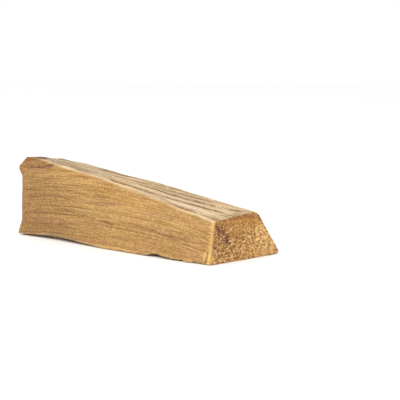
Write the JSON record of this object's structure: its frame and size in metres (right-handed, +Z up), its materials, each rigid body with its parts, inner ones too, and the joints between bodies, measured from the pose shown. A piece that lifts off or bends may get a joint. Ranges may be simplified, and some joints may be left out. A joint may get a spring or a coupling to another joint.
{
  "type": "palo santo stick",
  "caption": "Chunky wedge-shaped stick of split palo santo wood, sawn across at both ends and torn along the grain, lying on its widest split face.",
  "frame": {"origin": "centre of the bounding box at the height of the surface that the stick rests on", "axes": "+X along the grain from the thick end to the thin end, -Y out of the broad smooth face, +Z up"},
  "size_m": [0.1026, 0.0374, 0.0312],
  "materials": {
    "palo_santo_wood": "raw split wood, warm tan, matt and unsanded"
  },
  "bodies": {
    "root": {"palo_santo_stick": "palo_santo_wood"}
  },
  "joints": []
}
